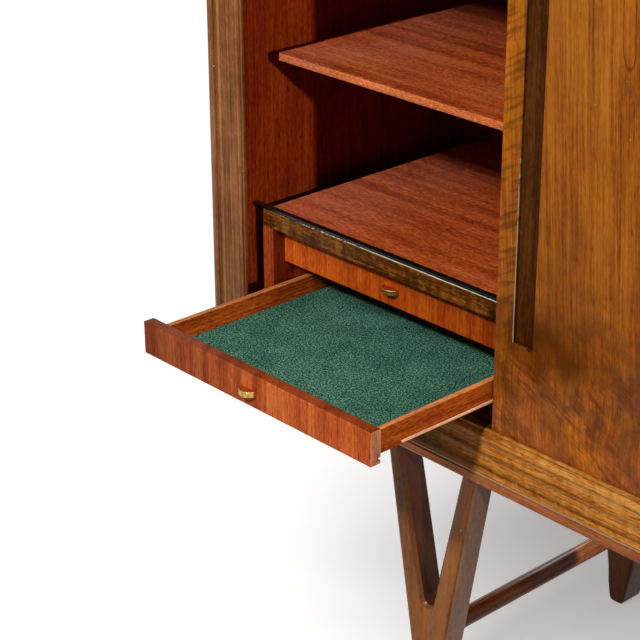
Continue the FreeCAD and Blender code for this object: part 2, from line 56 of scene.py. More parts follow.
def tint(red, green, blue):  # screen colour, 0 to 255, as a scene colour
    linear = [c / 12.92 if c <= 0.04045 else ((c + 0.055) / 1.055) ** 2.4
              for c in (red / 255, green / 255, blue / 255)]
    return (*linear, 1)


def put(tree, kind, inputs=None, **settings):
    node = tree.nodes.new("ShaderNode" + kind)
    for key, value in settings.items():
        setattr(node, key, value)
    for key, value in (inputs or {}).items():
        if isinstance(value, bpy.types.NodeSocket):
            tree.links.new(value, node.inputs[key])
        else:
            node.inputs[key].default_value = value
    return node


def calc(tree, operation, first, second=0.0, third=0.0, clamp=False):
    return put(tree, "Math", {0: first, 1: second, 2: third}, operation=operation, use_clamp=clamp).outputs[0]


def times(tree, first, second):
    return calc(tree, "MULTIPLY", first, second)


def timesPlus(tree, first, second, third):
    return calc(tree, "MULTIPLY_ADD", first, second, third)


def minus(tree, first, second):
    return calc(tree, "SUBTRACT", first, second)


def apart(tree, first, second):
    return calc(tree, "ABSOLUTE", minus(tree, first, second))


def plus(tree, first, second, clamp=False):
    return calc(tree, "ADD", first, second, clamp=clamp)


def spread(tree, value, low, high, newLow=0.0, newHigh=1.0, kind="SMOOTHSTEP"):  # a step between two levels
    inputs = {"Value": value, "From Min": low, "From Max": high, "To Min": newLow, "To Max": newHigh}
    return put(tree, "MapRange", inputs, interpolation_type=kind).outputs[0]


def scaled(tree, vector, factors):
    return put(tree, "VectorMath", {0: vector, 1: factors}, operation="MULTIPLY").outputs[0]


def dimmed(tree, colour, level):  # one factor for all three channels
    return put(tree, "VectorMath", {0: colour, "Scale": level}, operation="SCALE").outputs[0]


def axes(tree, vector):
    return put(tree, "SeparateXYZ", {0: vector}).outputs


def speckle(tree, vector, seed, scale, detail=2.0, roughness=0.5):
    inputs = {"Vector": vector, "W": seed, "Scale": scale, "Detail": detail, "Roughness": roughness}
    return put(tree, "TexNoise", inputs, noise_dimensions="4D").outputs[0]


def blendColour(tree, share, first, second, kind="MIX"):
    return put(tree, "Mix", {0: share, 6: first, 7: second}, data_type="RGBA", blend_type=kind).outputs[2]


def ramp(tree, share, stops, shades):
    node = put(tree, "ValToRGB", {"Fac": share})
    marks = node.color_ramp.elements
    while len(marks) < len(stops):
        marks.new(0.5)
    for mark, at, shade in zip(marks, stops, shades):
        mark.position = at
        mark.color = tint(*shade)
    return node.outputs[0]


def grained(tree, tone, shade, darker, lighter):  # one shade that follows the grain
    ends = [[min(255, c * share) for c in shade] for share in (darker, lighter)]
    return ramp(tree, tone, (0.1, 0.9), ends)


def readMark(tree, name):
    return put(tree, "Attribute", attribute_name=name).outputs["Fac"]


def newGroup(name, inputs, outputs):
    group = bpy.data.node_groups.new(name, "ShaderNodeTree")
    for label in inputs:
        kind = "NodeSocketVector" if label == "Vector" else "NodeSocketFloat"
        group.interface.new_socket(label, in_out="INPUT", socket_type=kind)
    for label in outputs:
        group.interface.new_socket(label, in_out="OUTPUT", socket_type="NodeSocketFloat")
    given = group.nodes.new("NodeGroupInput").outputs
    result = group.nodes.new("NodeGroupOutput").inputs
    return group, given, result


def useGroup(tree, group, inputs):
    return put(tree, "Group", inputs, node_tree=group).outputs


grainInputs = ("Bands", "Wander", "Streak", "Figure", "Fine", "Hair", "Grit", "Pores")  # set by each wood
# noise layers of the grain: stretch, shift of the seed, scale (None for the group's own), detail, roughness
grainLayers = {
    "slow": ((1, 1, 0.06), 0.0, 9.0, 2.0, 0.5), "hair": ((1, 1, 0.025), 0.0, None, 3.0, 0.65),
    "grit": ((1, 1, 0.3), 8.9, None, 2.0, 0.6), "pore": ((1, 1, 0.12), 3.1, None, 2.0, 0.5),
    "cloud": ((1, 1, 0.25), 1.3, 26.0, 3.0, 0.6), "curl": ((0.3, 0.3, 1), 5.7, 75.0, 2.0, 0.5),
}
grainMix = {"slant": 0.62, "seedStep": 7.3, "cloud": 0.35, "slow": 0.25, "range": 0.24}  # how the layers add up
poreLevel = {"top": 0.78, "share": 0.3, "soft": 0.09}  # where the pores start, and how softly


def buildGrain():  # wood that grows along Z: drift, bands, hair lines, pores and a figure across the grain
    group, given, result = newGroup("woodGrain", ("Vector", "Seed", *grainInputs), ("Tone", "Pores", "Fine"))
    place, seed = given["Vector"], given["Seed"]
    layers = {}
    for name, (stretch, shift, scale, detail, roughness) in grainLayers.items():
        ownSeed = plus(group, seed, shift) if shift else seed
        stretched = scaled(group, place, stretch)
        layers[name] = speckle(group, stretched, ownSeed, scale or given["Fine"], detail, roughness)
    parts = axes(group, place)
    across = timesPlus(group, parts[1], grainMix["slant"], parts[0])
    across = timesPlus(group, layers["slow"], given["Wander"], across)
    count = plus(group, times(group, across, given["Bands"]), times(group, seed, grainMix["seedStep"]))
    streak = put(group, "TexNoise", {"W": count, "Scale": 1.0, "Detail": 3.0, "Roughness": 0.6},
                 noise_dimensions="1D").outputs[0]
    tone = times(group, minus(group, streak, 0.5), given["Streak"])
    for name, share in (("hair", given["Hair"]), ("grit", given["Grit"]), ("cloud", grainMix["cloud"]),
                        ("slow", grainMix["slow"]), ("curl", given["Figure"])):
        tone = timesPlus(group, minus(group, layers[name], 0.5), share, tone)
    group.links.new(spread(group, tone, -grainMix["range"], grainMix["range"]), result["Tone"])
    bar = minus(group, poreLevel["top"], times(group, given["Pores"], poreLevel["share"]))
    pores = spread(group, layers["pore"], bar, plus(group, bar, poreLevel["soft"]))
    group.links.new(pores, result["Pores"])
    group.links.new(layers["hair"], result["Fine"])
    return group


# what wears an arris through
rubLevels = {"patchScale": 0.12, "chip": 0.45, "patch": 0.25, "edge": 0.35, "top": 0.84, "amount": 0.3, "soft": 0.05}


def buildRubbed():  # arris worn through the polish, broken up along its length
    group, given, result = newGroup("rubbedEdge", ("Vector", "Edge", "Scale", "Amount"), ("Mask",))
    patchScale = times(group, given["Scale"], rubLevels["patchScale"])
    patch = speckle(group, given["Vector"], 1.7, patchScale, 2.0)
    chip = speckle(group, given["Vector"], 4.2, given["Scale"], 3.0, 0.65)
    level = plus(group, times(group, chip, rubLevels["chip"]), times(group, patch, rubLevels["patch"]))
    level = timesPlus(group, given["Edge"], rubLevels["edge"], level)
    bar = minus(group, rubLevels["top"], times(group, given["Amount"], rubLevels["amount"]))
    group.links.new(spread(group, level, bar, plus(group, bar, rubLevels["soft"])), result["Mask"])
    return group


def buildFlecks():  # dust, nicks and specks of old polish
    group, given, result = newGroup("flecks", ("Vector", "Scale", "Size", "Share"), ("Mask",))
    cell = put(group, "TexVoronoi", {"Vector": given["Vector"], "Scale": given["Scale"]}, feature="F1")
    chance = put(group, "SeparateColor", {0: cell.outputs["Color"]}).outputs
    picked = calc(group, "LESS_THAN", chance[0], given["Share"])
    size = times(group, given["Size"], plus(group, chance[1], 0.35))
    dot = calc(group, "LESS_THAN", cell.outputs["Distance"], size)
    group.links.new(times(group, picked, dot), result["Mask"])
    return group


grainGroup = buildGrain()
rubbedGroup = buildRubbed()
fleckGroup = buildFlecks()


def newFinish(name):
    material = bpy.data.materials.new(name)
    material.use_nodes = True
    material.node_tree.nodes.clear()
    return material, material.node_tree


def newSurface(name):
    material, tree = newFinish(name)
    return material, tree, put(tree, "TexCoord").outputs["Object"]


def close(tree, shader):
    output = put(tree, "OutputMaterial")
    tree.links.new(shader.outputs[0], output.inputs["Surface"])


def closeSurface(tree, look, colour, rough, height, others):  # the shader, with a fine relief
    relief = put(tree, "Bump", {"Strength": look["bump"], "Distance": look["bumpDepth"], "Height": height})
    inputs = {"Base Color": colour, "Roughness": rough, "Normal": relief.outputs[0], **others}
    close(tree, put(tree, "BsdfPrincipled", inputs))


def alongGrain(tree, place, axis):  # swaps the axes so that the grain runs along Z
    parts = axes(tree, place)
    order = {"x": (1, 2, 0), "y": (0, 2, 1), "z": (0, 1, 2)}[axis]
    return put(tree, "CombineXYZ", {i: parts[n] for i, n in enumerate(order)}).outputs[0]


# finishes: three shades from dark to light, then how the grain lies and how the surface is kept
# drift: two places along X and the factor at each; faces: the shade on the faces across an axis
# edgeLine: height and half width of a pale line, and where along X it starts and is full
# inside: two heights and the painted shade at each; paintedSheen: colour, strength and two places along X

plainWood = {"streak": 0.25, "wander": 0.03, "figure": 0.0, "fine": 420, "hair": 0.55, "grit": 0.3, "creaseDirtAndShade": 0.85,
             "pores": 0.5, "gloss": 0.42, "rub": 0.3, "rubScale": 300.0, "dust": 0.02,
             "specular": 0.06}  # what most of them share
woods = {
    "mahogany": {"shades": ((124, 42, 14), (183, 78, 30), (214, 114, 62)), "bands": 45, "streak": 0.34, "fine": 520,
                 "hair": 0.32, "grit": 0.75, "gloss": 0.4, "rubShade": (228, 152, 108), "dust": 0.06,
                 # paintedSheen: a painted reflection in soft patches towards the left end
                 "paintedSheen": (208, 122, 98, 0.36, -0.62, -0.86), "faces": {"y": (222, 120, 66)}},
    "mahoganyDark": {"shades": ((88, 22, 3), (120, 36, 6), (146, 58, 14)), "bands": 220, "streak": 0.3, "fine": 480,
                     "grit": 0.5, "pores": 0.45, "gloss": 0.5, "rub": 0.1, "rubShade": (170, 84, 44),
                     "dust": 0.004},
    "mahoganyPost": {"shades": ((110, 34, 12), (168, 68, 28), (198, 100, 50)), "bands": 150, "fine": 450,
                     # faces: painted shade on the stiles' side faces
                     "grit": 0.5, "rubShade": (216, 140, 96), "faces": {"x": (98, 26, 8)}},
    "lowerFront": {"shades": ((122, 40, 14), (178, 78, 30), (212, 116, 58)), "bands": 40, "streak": 0.36,
                   "hair": 0.35, "rub": 0.36, "rubShade": (226, 170, 128), "dust": 0.3,
                   "drift": (-0.853, -0.58, 0.58, 1.22), "faces": {"x": (196, 140, 100), "z": (124, 54, 24)}},
    "upperFront": {"shades": ((128, 36, 2), (198, 82, 16), (224, 116, 42)), "bands": 40, "streak": 0.36,
                   "hair": 0.35, "rubShade": (226, 170, 128), "dust": 0.1,
                   "drift": (-0.853, -0.413, 1.15, 0.66), "faces": {"x": (168, 120, 86), "z": (124, 54, 24)}},
    "drawerSide": {"shades": ((92, 32, 6), (146, 60, 12), (186, 97, 36)), "bands": 110, "fine": 450, "grit": 0.5,
                   # faces: the paler tops are wear and painted light from above
                   "rub": 0.4, "rubShade": (214, 148, 92), "faces": {"z": (198, 128, 74)}},
    "walnutFrame": {"shades": ((76, 40, 12), (136, 80, 38), (182, 122, 72)), "bands": 170, "streak": 0.42,
                    "figure": 0.12, "hair": 0.4, "grit": 0.2, "pores": 0.4, "gloss": 0.24, "rub": 0.36,
                    "rubShade": (236, 208, 164), "rubScale": 520, "specular": 0.12},
    "walnutCase": {"shades": ((82, 42, 14), (132, 78, 34), (174, 112, 56)), "bands": 42, "streak": 0.55,
                   "wander": 0.05, "hair": 0.45, "grit": 0.2, "pores": 0.45, "gloss": 0.36, "rub": 0.36,
                   "rubShade": (206, 166, 118)},
    "walnutBase": {"shades": ((116, 54, 10), (200, 120, 40), (240, 176, 88)), "bands": 300, "streak": 0.2,
                   "figure": 0.2, "grit": 0.4, "pores": 0.45, "gloss": 0.28, "rub": 0.38,
                   "rubShade": (240, 214, 172), "rubScale": 520, "dust": 0.06, "creaseDirtAndShade": 0.7,
                   # drift: painted shadow of the open drawer on the left part; edgeLine: wear and a painted
                   # highlight
                   "drift": (-0.51, -0.45, 0.5, 1.02), "edgeLine": (0.4228, 0.0015, -0.95, -0.9),
                   "lineShade": (206, 172, 144)},
    "walnutFascia": {"shades": ((94, 44, 18), (156, 86, 42), (190, 114, 60)), "bands": 120, "grit": 0.4,
                     "pores": 0.4, "gloss": 0.34, "rub": 0.5, "rubShade": (214, 180, 146), "specular": 0.12,
                     # drift: painted light where the drawer's shadow falls, dimmer where the lamp lights it
                     "drift": (-0.58, -0.42, 1.6, 0.78), "edgeLine": (0.409, 0.001, -0.4, -0.56),
                     "lineShade": (206, 172, 146)},
    "walnutRail": {"shades": ((44, 20, 2), (98, 52, 10), (160, 98, 28)), "bands": 70, "figure": 0.55, "grit": 0.5,
                   "pores": 0.4, "gloss": 0.36, "rubShade": (206, 172, 126), "dust": 0.16,
                   # edgeLine: a painted highlight along the top arris, under the bead
                   "edgeLine": (0.6518, 0.0006, -0.86, -0.6), "lineShade": (216, 206, 176)},
    "walnutLeg": {"shades": ((86, 42, 8), (142, 82, 32), (172, 112, 58)), "bands": 60, "hair": 0.3, "pores": 0.25,
                  "gloss": 0.24, "rub": 0.42, "rubShade": (196, 152, 110), "specular": 0.18,
                  # faces: painted reflection, grey on the sides and more orange on the fronts
                  "faces": {"y": (152, 86, 18), "x": (158, 111, 86)},
                  # inside: painted shade on the faces between the arms
                  "inside": (0.2, 0.34, (74, 40, 26), (132, 62, 24))},
    "walnutRod": {"shades": ((70, 30, 4), (120, 62, 16), (156, 96, 40)), "bands": 60, "grit": 0.35, "pores": 0.35,
                  "gloss": 0.28, "rub": 0.2, "rubShade": (190, 146, 104), "specular": 0.16},
    "walnutDark": {"shades": ((40, 16, 0), (64, 30, 2), (92, 50, 14)), "bands": 50, "streak": 0.2, "grit": 0.4,
                   "pores": 0.3, "rub": 0.4, "rubShade": (170, 124, 82), "dust": 0.06, "specular": 0.04},
    "ebonised": {"shades": ((8, 7, 7), (14, 12, 11), (24, 21, 19)), "bands": 50, "streak": 0.2, "pores": 0.3,
                 "gloss": 0.26, "rub": 0.1, "rubShade": (190, 180, 160), "specular": 0.3},
    "beech": {"shades": ((190, 140, 104), (220, 172, 134), (234, 194, 162)), "bands": 80, "fine": 450, "pores": 0.2,
              "gloss": 0.5, "rub": 0.1, "rubShade": (244, 220, 192)},
    "plywood": {"shades": ((112, 72, 36), (146, 100, 58), (172, 124, 78)), "bands": 34, "streak": 0.3, "pores": 0.4,
                "gloss": 0.6, "rub": 0.2, "rubShade": (190, 150, 108), "dust": 0.04},
}
headSkips = ("drift", "edgeLine")  # the top moulding is of the bottom one's wood, the same from end to end
woods["walnutHead"] = {name: value for name, value in woods["walnutBase"].items() if name not in headSkips}

# how the pores, the shades of some faces, the painted shade of the inner faces and the painted sheen are laid on
shadeLayers = {"pores": (168, 136, 124), "turn": (0.7, 0.9), "strength": 0.85, "range": (0.72, 1.18),
         "insideLevel": (0.5, 0.75), "insideShare": 0.92, "sheenPatch": (0.36, 0.64, 0.2, 1.0),
         "sheenRange": (0.8, 1.16)}


def woodSurface(tree, look, grainPlace, place):  # the grain and its colour
    values = {name: look[name.lower()] for name in grainInputs}
    grain = useGroup(tree, grainGroup, {"Vector": grainPlace, "Seed": readMark(tree, "boardSeed"), **values})
    colour = ramp(tree, grain["Tone"], (0.0, 0.5, 1.0), look["shades"])
    poreShade = blendColour(tree, 1.0, colour, tint(*shadeLayers["pores"]), "MULTIPLY")
    colour = blendColour(tree, grain["Pores"], colour, poreShade)
    if "drift" in look:  # scaled along X: painted shadow and light by the drawer, and a darker end on the fronts
        share = spread(tree, axes(tree, place)[0], *look["drift"], kind="LINEAR")
        colour = dimmed(tree, colour, share)
    for side, shade in look.get("faces", {}).items():  # end grain, and also painted shade, light and reflection
        normal = axes(tree, put(tree, "TexCoord").outputs["Normal"])["xyz".index(side)]
        facing = spread(tree, calc(tree, "ABSOLUTE", normal), *shadeLayers["turn"], 0.0, shadeLayers["strength"])
        colour = blendColour(tree, facing, colour, grained(tree, grain["Tone"], shade, *shadeLayers["range"]))
    if "inside" in look:  # painted shade on the faces between a leg's arms, darker lower down
        bottom, top, lowShade, highShade = look["inside"]
        rise = spread(tree, axes(tree, place)[2], bottom, top)
        level = timesPlus(tree, grain["Tone"], *shadeLayers["insideLevel"])
        shade = dimmed(tree, blendColour(tree, rise, tint(*lowShade), tint(*highShade)), level)
        share = times(tree, readMark(tree, "innerFace"), shadeLayers["insideShare"])
        colour = blendColour(tree, share, colour, shade)
    if "paintedSheen" in look:  # painted reflection in soft patches, strongest towards the left
        red, green, blue, most, start, end = look["paintedSheen"]
        patch = spread(tree, speckle(tree, place, 7.0, 7.0, 4.0, 0.6), *shadeLayers["sheenPatch"])
        patch = times(tree, patch, spread(tree, axes(tree, place)[0], start, end, 0.1 * most, most))
        sheen = grained(tree, grain["Tone"], (red, green, blue), *shadeLayers["sheenRange"])
        colour = blendColour(tree, patch, colour, sheen)
    return grain, colour


# what every board has: dirt and painted shade in the creases, rubbed arrises, dust and uneven polish
upkeep = {"creaseDirtAndShadeTone": (26, 13, 6), "rubStrength": 0.8, "dustScale": 95.0, "dustSize": 0.085, "dustStrength": 0.55,
          "dustShade": (236, 214, 196), "smearScale": 14.0, "smearRough": 0.16, "poreRough": 0.15, "rubRough": 0.25,
          "fineHeight": 0.4, "bump": 0.2, "bumpDepth": 0.0002}


def finishBoard(tree, look, grain, colour, place):  # wear, dirt and painted shade in creases, dust and the shader
    # creases darkened: dirt and painted shade
    creaseDirtAndShade = times(tree, readMark(tree, "cavity"), look["creaseDirtAndShade"])
    colour = blendColour(tree, creaseDirtAndShade, colour, tint(*upkeep["creaseDirtAndShadeTone"]))
    rubbed = useGroup(tree, rubbedGroup, {"Vector": place, "Edge": readMark(tree, "edgeWear"),
                                          "Scale": look["rubScale"], "Amount": look["rub"]})["Mask"]
    rubShare = times(tree, rubbed, upkeep["rubStrength"])
    colour = blendColour(tree, rubShare, colour, tint(*look["rubShade"]))
    dust = useGroup(tree, fleckGroup, {"Vector": place, "Scale": upkeep["dustScale"], "Size": upkeep["dustSize"],
                                       "Share": look["dust"]})["Mask"]
    dustShare = times(tree, dust, upkeep["dustStrength"])
    colour = blendColour(tree, dustShare, colour, tint(*upkeep["dustShade"]))
    smear = speckle(tree, place, 2.0, upkeep["smearScale"], 3.0)
    rough = timesPlus(tree, smear, upkeep["smearRough"], look["gloss"] - upkeep["smearRough"] / 2)
    rough = timesPlus(tree, grain["Pores"], upkeep["poreRough"], rough)
    rough = plus(tree, rough, times(tree, rubbed, upkeep["rubRough"]), clamp=True)
    height = minus(tree, times(tree, grain["Fine"], upkeep["fineHeight"]), grain["Pores"])
    closeSurface(tree, upkeep, colour, rough, height, {"Specular IOR Level": look["specular"]})


paleLineGaps = {"scale": 220.0, "boost": 0.3, "breaks": (0.58, 0.66), "strength": 0.9}  # the pale line's gaps


def woodFinish(name, axis):
    material, tree, place = newSurface(name + axis.upper())
    look = {**plainWood, **woods[name]}
    grain, colour = woodSurface(tree, look, alongGrain(tree, place, axis), place)
    if "edgeLine" in look:  # pale line along an arris, broken up where it starts; on the rail a painted highlight
        level, half, start, end = look["edgeLine"]
        parts = axes(tree, place)
        line = spread(tree, apart(tree, parts[2], level), half * 1.4, half * 0.6)
        lineBreakup = plus(tree, spread(tree, parts[0], start, end, 0.0, paleLineGaps["boost"]),
                    speckle(tree, place, 6.0, paleLineGaps["scale"], 2.0))
        line = times(tree, line, spread(tree, lineBreakup, *paleLineGaps["breaks"], 0.0, paleLineGaps["strength"]))
        colour = blendColour(tree, line, colour, tint(*look["lineShade"]))
    finishBoard(tree, look, grain, colour, place)
    return material


veneer = {
    **plainWood, "shades": ((104, 46, 0), (180, 94, 10), (212, 132, 32)), "bands": 110, "streak": 0.26, "fine": 430,
    "grit": 0.25, "pores": 0.4, "wander": 0.015, "gloss": 0.32, "rubShade": (222, 196, 160), "dust": 0.01,
    "lean": 0.068,  # sideways run of the grain for each metre up
    "loopAt": (-0.2281, 1.0237), "loopHalf": 0.0086, "loopTaper": 0.35, "lineHalf": 0.0008, "loopShade": (66, 36, 8),
    "loopLevel": 0.994, "loopDepth": 0.65, "tipShift": (-0.0004, 0.001), "tipHalf": (0.006, 0.005), "tipDepth": 0.7,
    "heartAt": -0.2114, "heartHalf": 0.0014, "heartEnds": (0.9, 0.99),  # one dark growth line beside the loop
    "stripEdge": (-0.374, -0.380), "stripDim": 0.16, "stripesAbove": (0.6, 0.7),
    "stripeSlope": 0.55, "stripeScale": 105, "stripeShade": (84, 44, 10), "stripeDepth": 0.6,
    "ripplesBelow": (0.70, 0.56), "rippleScale": 170, "rippleShade": (108, 48, 18), "rippleDepth": 0.75,
    "swirl": 0.08, "mottleScale": 26, "mottleRange": (0.62, 1.26), "browner": (148, 82, 48, 0.58),
    "brownBelow": (0.86, 0.6), "patchAt": (-0.325, 0.632), "patchHalf": (0.13, 0.058), "patchShade": (106, 50, 5),
    "pullEdge": -0.3802, "pullLine": 0.0008, "pullFade": (0.95, 0.7), "pullFoot": 0.6205,
    "chipAt": (-0.3535, 0.6185), "chipHalf": (0.006, 0.003), "chipShade": (54, 28, 8),
}


def slanted(tree, parts, slope, stretch):  # measures across and along lines that rise to the right
    across = timesPlus(tree, parts[0], -slope, parts[2])
    along = times(tree, timesPlus(tree, parts[2], slope, parts[0]), stretch)
    return put(tree, "CombineXYZ", {0: across, 1: along}).outputs[0]


def spot(tree, parts, at, half):  # soft oval on the door's face
    wide = calc(tree, "DIVIDE", minus(tree, parts[0], at[0]), half[0])
    tall = calc(tree, "DIVIDE", minus(tree, parts[2], at[1]), half[1])
    far = calc(tree, "SQRT", timesPlus(tree, wide, wide, times(tree, tall, tall)))
    return spread(tree, far, 1.0, 0.25)


def growthLoop(tree, parts, upright):  # a line round a hairpin that opens upwards, with a smudge at its tip
    tipX, tipZ = veneer["loopAt"]
    taper = veneer["loopTaper"]
    centre = plus(tree, upright, -tipX - veneer["lean"] * veneer["loopLevel"])
    below = times(tree, calc(tree, "MINIMUM", minus(tree, parts[2], tipZ), 0.0), taper)
    square = times(tree, centre, centre)
    reach = calc(tree, "SQRT", timesPlus(tree, below, below, square))
    steep = times(tree, below, taper)
    slope = calc(tree, "DIVIDE", calc(tree, "SQRT", timesPlus(tree, steep, steep, square)), reach)
    offLine = apart(tree, reach, veneer["loopHalf"])
    offLine = calc(tree, "DIVIDE", offLine, slope)
    line = spread(tree, offLine, veneer["lineHalf"] * 1.7, veneer["lineHalf"] * 0.4)
    shiftX, shiftZ = veneer["tipShift"]
    end = (tipX + shiftX, tipZ - veneer["loopHalf"] / taper + shiftZ)
    smudge = times(tree, spot(tree, parts, end, veneer["tipHalf"]), veneer["tipDepth"])
    return calc(tree, "MAXIMUM", times(tree, line, veneer["loopDepth"]), smudge)


def veneerFinish():  # lacquered door veneer: straight streaks, one growth loop, rippled figure low down
    material, tree, place = newSurface("walnutVeneer")
    parts = axes(tree, place)
    upright = timesPlus(tree, parts[2], veneer["lean"], parts[0])
    low = spread(tree, parts[2], *veneer["ripplesBelow"])
    waver = minus(tree, speckle(tree, place, 5.0, 5.0, 3.0), 0.5)
    swirl = times(tree, times(tree, waver, low), veneer["swirl"])
    grainPlace = put(tree, "CombineXYZ", {0: plus(tree, upright, swirl), 1: parts[1], 2: parts[2]}).outputs[0]
    grain, colour = woodSurface(tree, veneer, grainPlace, place)

    # the veneer turns browner towards the bottom in blotches, with one deeper patch under the pull
    blotch = spread(tree, speckle(tree, place, 8.0, 11.0, 4.0, 0.6), 0.36, 0.62)
    below = spread(tree, parts[2], *veneer["brownBelow"])
    red, green, blue, most = veneer["browner"]
    brown = times(tree, times(tree, below, blotch), most)
    colour = blendColour(tree, brown, colour, tint(red, green, blue))
    patches = speckle(tree, place, 15.0, veneer["mottleScale"], 4.0, 0.65)
    mottle = minus(tree, spread(tree, patches, 0.34, 0.66, *veneer["mottleRange"]), 1.0)
    colour = dimmed(tree, colour, timesPlus(tree, mottle, below, 1.0))
    cloud = spread(tree, speckle(tree, place, 12.0, 30.0, 3.0, 0.6), 0.35, 0.6, 0.5, 0.95)
    deep = times(tree, spot(tree, parts, veneer["patchAt"], veneer["patchHalf"]), cloud)
    colour = blendColour(tree, deep, colour, tint(*veneer["patchShade"]))

    # dark growth lines
    offHeart = apart(tree, upright, veneer["heartAt"])
    heart = spread(tree, offHeart, veneer["heartHalf"] * 2, veneer["heartHalf"] * 0.3)
    heart = times(tree, heart, spread(tree, parts[2], *veneer["heartEnds"], 0.0, 0.5))
    dark = calc(tree, "MAXIMUM", heart, growthLoop(tree, parts, upright))
    colour = blendColour(tree, dark, colour, tint(*veneer["loopShade"]))

    # stripes rise across the strip outside the pull, ripples fall across the grain low down
    strip = spread(tree, parts[0], *veneer["stripEdge"])
    stripes = speckle(tree, slanted(tree, parts, veneer["stripeSlope"], 0.16), 9.0, veneer["stripeScale"], 2.0)
    striped = times(tree, spread(tree, stripes, 0.47, 0.62), times(tree, strip, veneer["stripeDepth"]))
    striped = times(tree, striped, spread(tree, parts[2], *veneer["stripesAbove"], 0.3, 1.0))
    colour = dimmed(tree, colour, timesPlus(tree, strip, -veneer["stripDim"], 1.0))
    colour = blendColour(tree, striped, colour, tint(*veneer["stripeShade"]))
    ripples = speckle(tree, slanted(tree, parts, -veneer["stripeSlope"], 0.2), 4.0, veneer["rippleScale"], 2.0)
    where = times(tree, spread(tree, speckle(tree, place, 3.0, 15.0, 2.0), 0.4, 0.6), low)
    rippled = times(tree, spread(tree, ripples, 0.42, 0.64), times(tree, where, veneer["rippleDepth"]))
    colour = blendColour(tree, rippled, colour, tint(*veneer["rippleShade"]))

    # a painted highlight, partly wear, along the pull's left edge, and a splinter is missing at its foot
    offEdge = apart(tree, parts[0], veneer["pullEdge"])
    line = spread(tree, offEdge, veneer["pullLine"] * 1.3, veneer["pullLine"] * 0.6)
    lineBreakup = plus(tree, spread(tree, parts[2], *veneer["pullFade"], 0.0, 0.4),
                speckle(tree, scaled(tree, place, (1, 1, 0.5)), 2.2, 160.0, 2.0))
    line = times(tree, line, spread(tree, lineBreakup, 0.64, 0.76, 0.0, 0.7))
    line = times(tree, line, calc(tree, "GREATER_THAN", parts[2], veneer["pullFoot"]))
    colour = blendColour(tree, line, colour, tint(*veneer["rubShade"]))
    chip = spot(tree, parts, veneer["chipAt"], veneer["chipHalf"])
    colour = blendColour(tree, chip, colour, tint(*veneer["chipShade"]))
    finishBoard(tree, veneer, grain, colour, place)
    return material


baizeLook = {"shades": ((2, 37, 26), (37, 91, 71), (126, 170, 149)), "stops": (0.39, 0.5, 0.61), "speck": 430.0,
             "patchScale": 22.0, "patch": 0.12, "lintShade": (150, 194, 172), "lint": 0.6,
             "lintCells": {"Scale": 300.0, "Size": 0.22, "Share": 0.07}, "rough": 0.95, "specular": 0.1, "bump": 0.7,
             "bumpDepth": 0.0008, "pile": 0.0005, "cell": 0.0022, "rim": 0.004, "pressed": 0.4,
             "tufts": (330, 0.35), "waves": (30, 0.15)}  # how fine and how strong the pile varies


def baizeFinish():
    material, tree, place = newSurface("greenBaize")
    fibre = speckle(tree, place, 1.0, baizeLook["speck"], 2.0, 0.8)
    patch = speckle(tree, place, 6.0, baizeLook["patchScale"], 3.0, 0.6)
    level = plus(tree, times(tree, fibre, 1 - baizeLook["patch"]), times(tree, patch, baizeLook["patch"]))
    colour = ramp(tree, level, baizeLook["stops"], baizeLook["shades"])
    lint = useGroup(tree, fleckGroup, {"Vector": place, **baizeLook["lintCells"]})["Mask"]
    lint = times(tree, lint, baizeLook["lint"])
    colour = blendColour(tree, lint, colour, tint(*baizeLook["lintShade"]))
    closeSurface(tree, baizeLook, colour, baizeLook["rough"], fibre, {"Specular IOR Level": baizeLook["specular"]})
    return material


brassLook = {"stops": (0.3, 0.55, 0.75), "shades": ((150, 104, 52), (196, 152, 88), (224, 188, 126)),
             "rough": (0.3, 0.7, 0.42, 0.22), "cloudScale": 160.0, "hairScale": 2600.0, "bump": 0.12,
             "bumpDepth": 0.0001}


def brassFinish():
    material, tree, place = newSurface("oldBrass")
    cloud = speckle(tree, place, 2.5, brassLook["cloudScale"], 3.0, 0.6)
    colour = ramp(tree, cloud, brassLook["stops"], brassLook["shades"])
    rough = spread(tree, cloud, *brassLook["rough"])
    hair = speckle(tree, scaled(tree, place, (0.05, 1, 1)), 1.0, brassLook["hairScale"], 1.0)
    closeSurface(tree, brassLook, colour, rough, hair, {"Metallic": 1.0})
    return material


finishes = {}


def finish(name, axis=""):
    key = name + axis
    if key not in finishes:
        special = {"veneer": veneerFinish, "baize": baizeFinish, "brass": brassFinish}
        finishes[key] = special[name]() if name in special else woodFinish(name, axis)
    return finishes[key]


print("finishes ready")


# pieces

def meshOf(shape, name):
    mesh = bpy.data.meshes.new(name)
    shape.to_mesh(mesh)
    shape.free()
    return mesh


def smoothed(mesh, sharp=None):  # edges past the sharp angle stay hard
    mesh.polygons.foreach_set("use_smooth", [True] * len(mesh.polygons))
    if sharp:
        mesh.set_sharp_from_angle(angle=math.radians(sharp))
    return mesh


def addObject(name, data):
    thing = bpy.data.objects.new(name, data)
    scene.collection.objects.link(thing)
    return thing


def addPiece(name, mesh, node, material):
    piece = addObject(name, mesh)
    mesh.materials.clear()
    mesh.materials.append(material)
    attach(piece, bodyOf[node])
    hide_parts(node)
    return piece


weld = 1e-6  # points nearer than this are one


def nearness(point, lines, reach):
    best = reach
    for start, end in lines:
        near, share = intersect_point_line(point, start, end)
        near = start if share < 0 else end if share > 1 else near
        best = min(best, (point - near).length)
    return 1 - best / reach


def setMark(mesh, name, values, domain="POINT"):
    mesh.attributes.new(name, "FLOAT", domain).data.foreach_set("value", values)


def cutAcross(shape, axis, level):
    at = Vector([level if i == axis else 0 for i in range(3)])
    normal = Vector([float(i == axis) for i in range(3)])
    everything = list(shape.verts) + list(shape.edges) + list(shape.faces)
    bmesh.ops.bisect_plane(shape, geom=everything, plane_co=at, plane_no=normal, dist=weld)


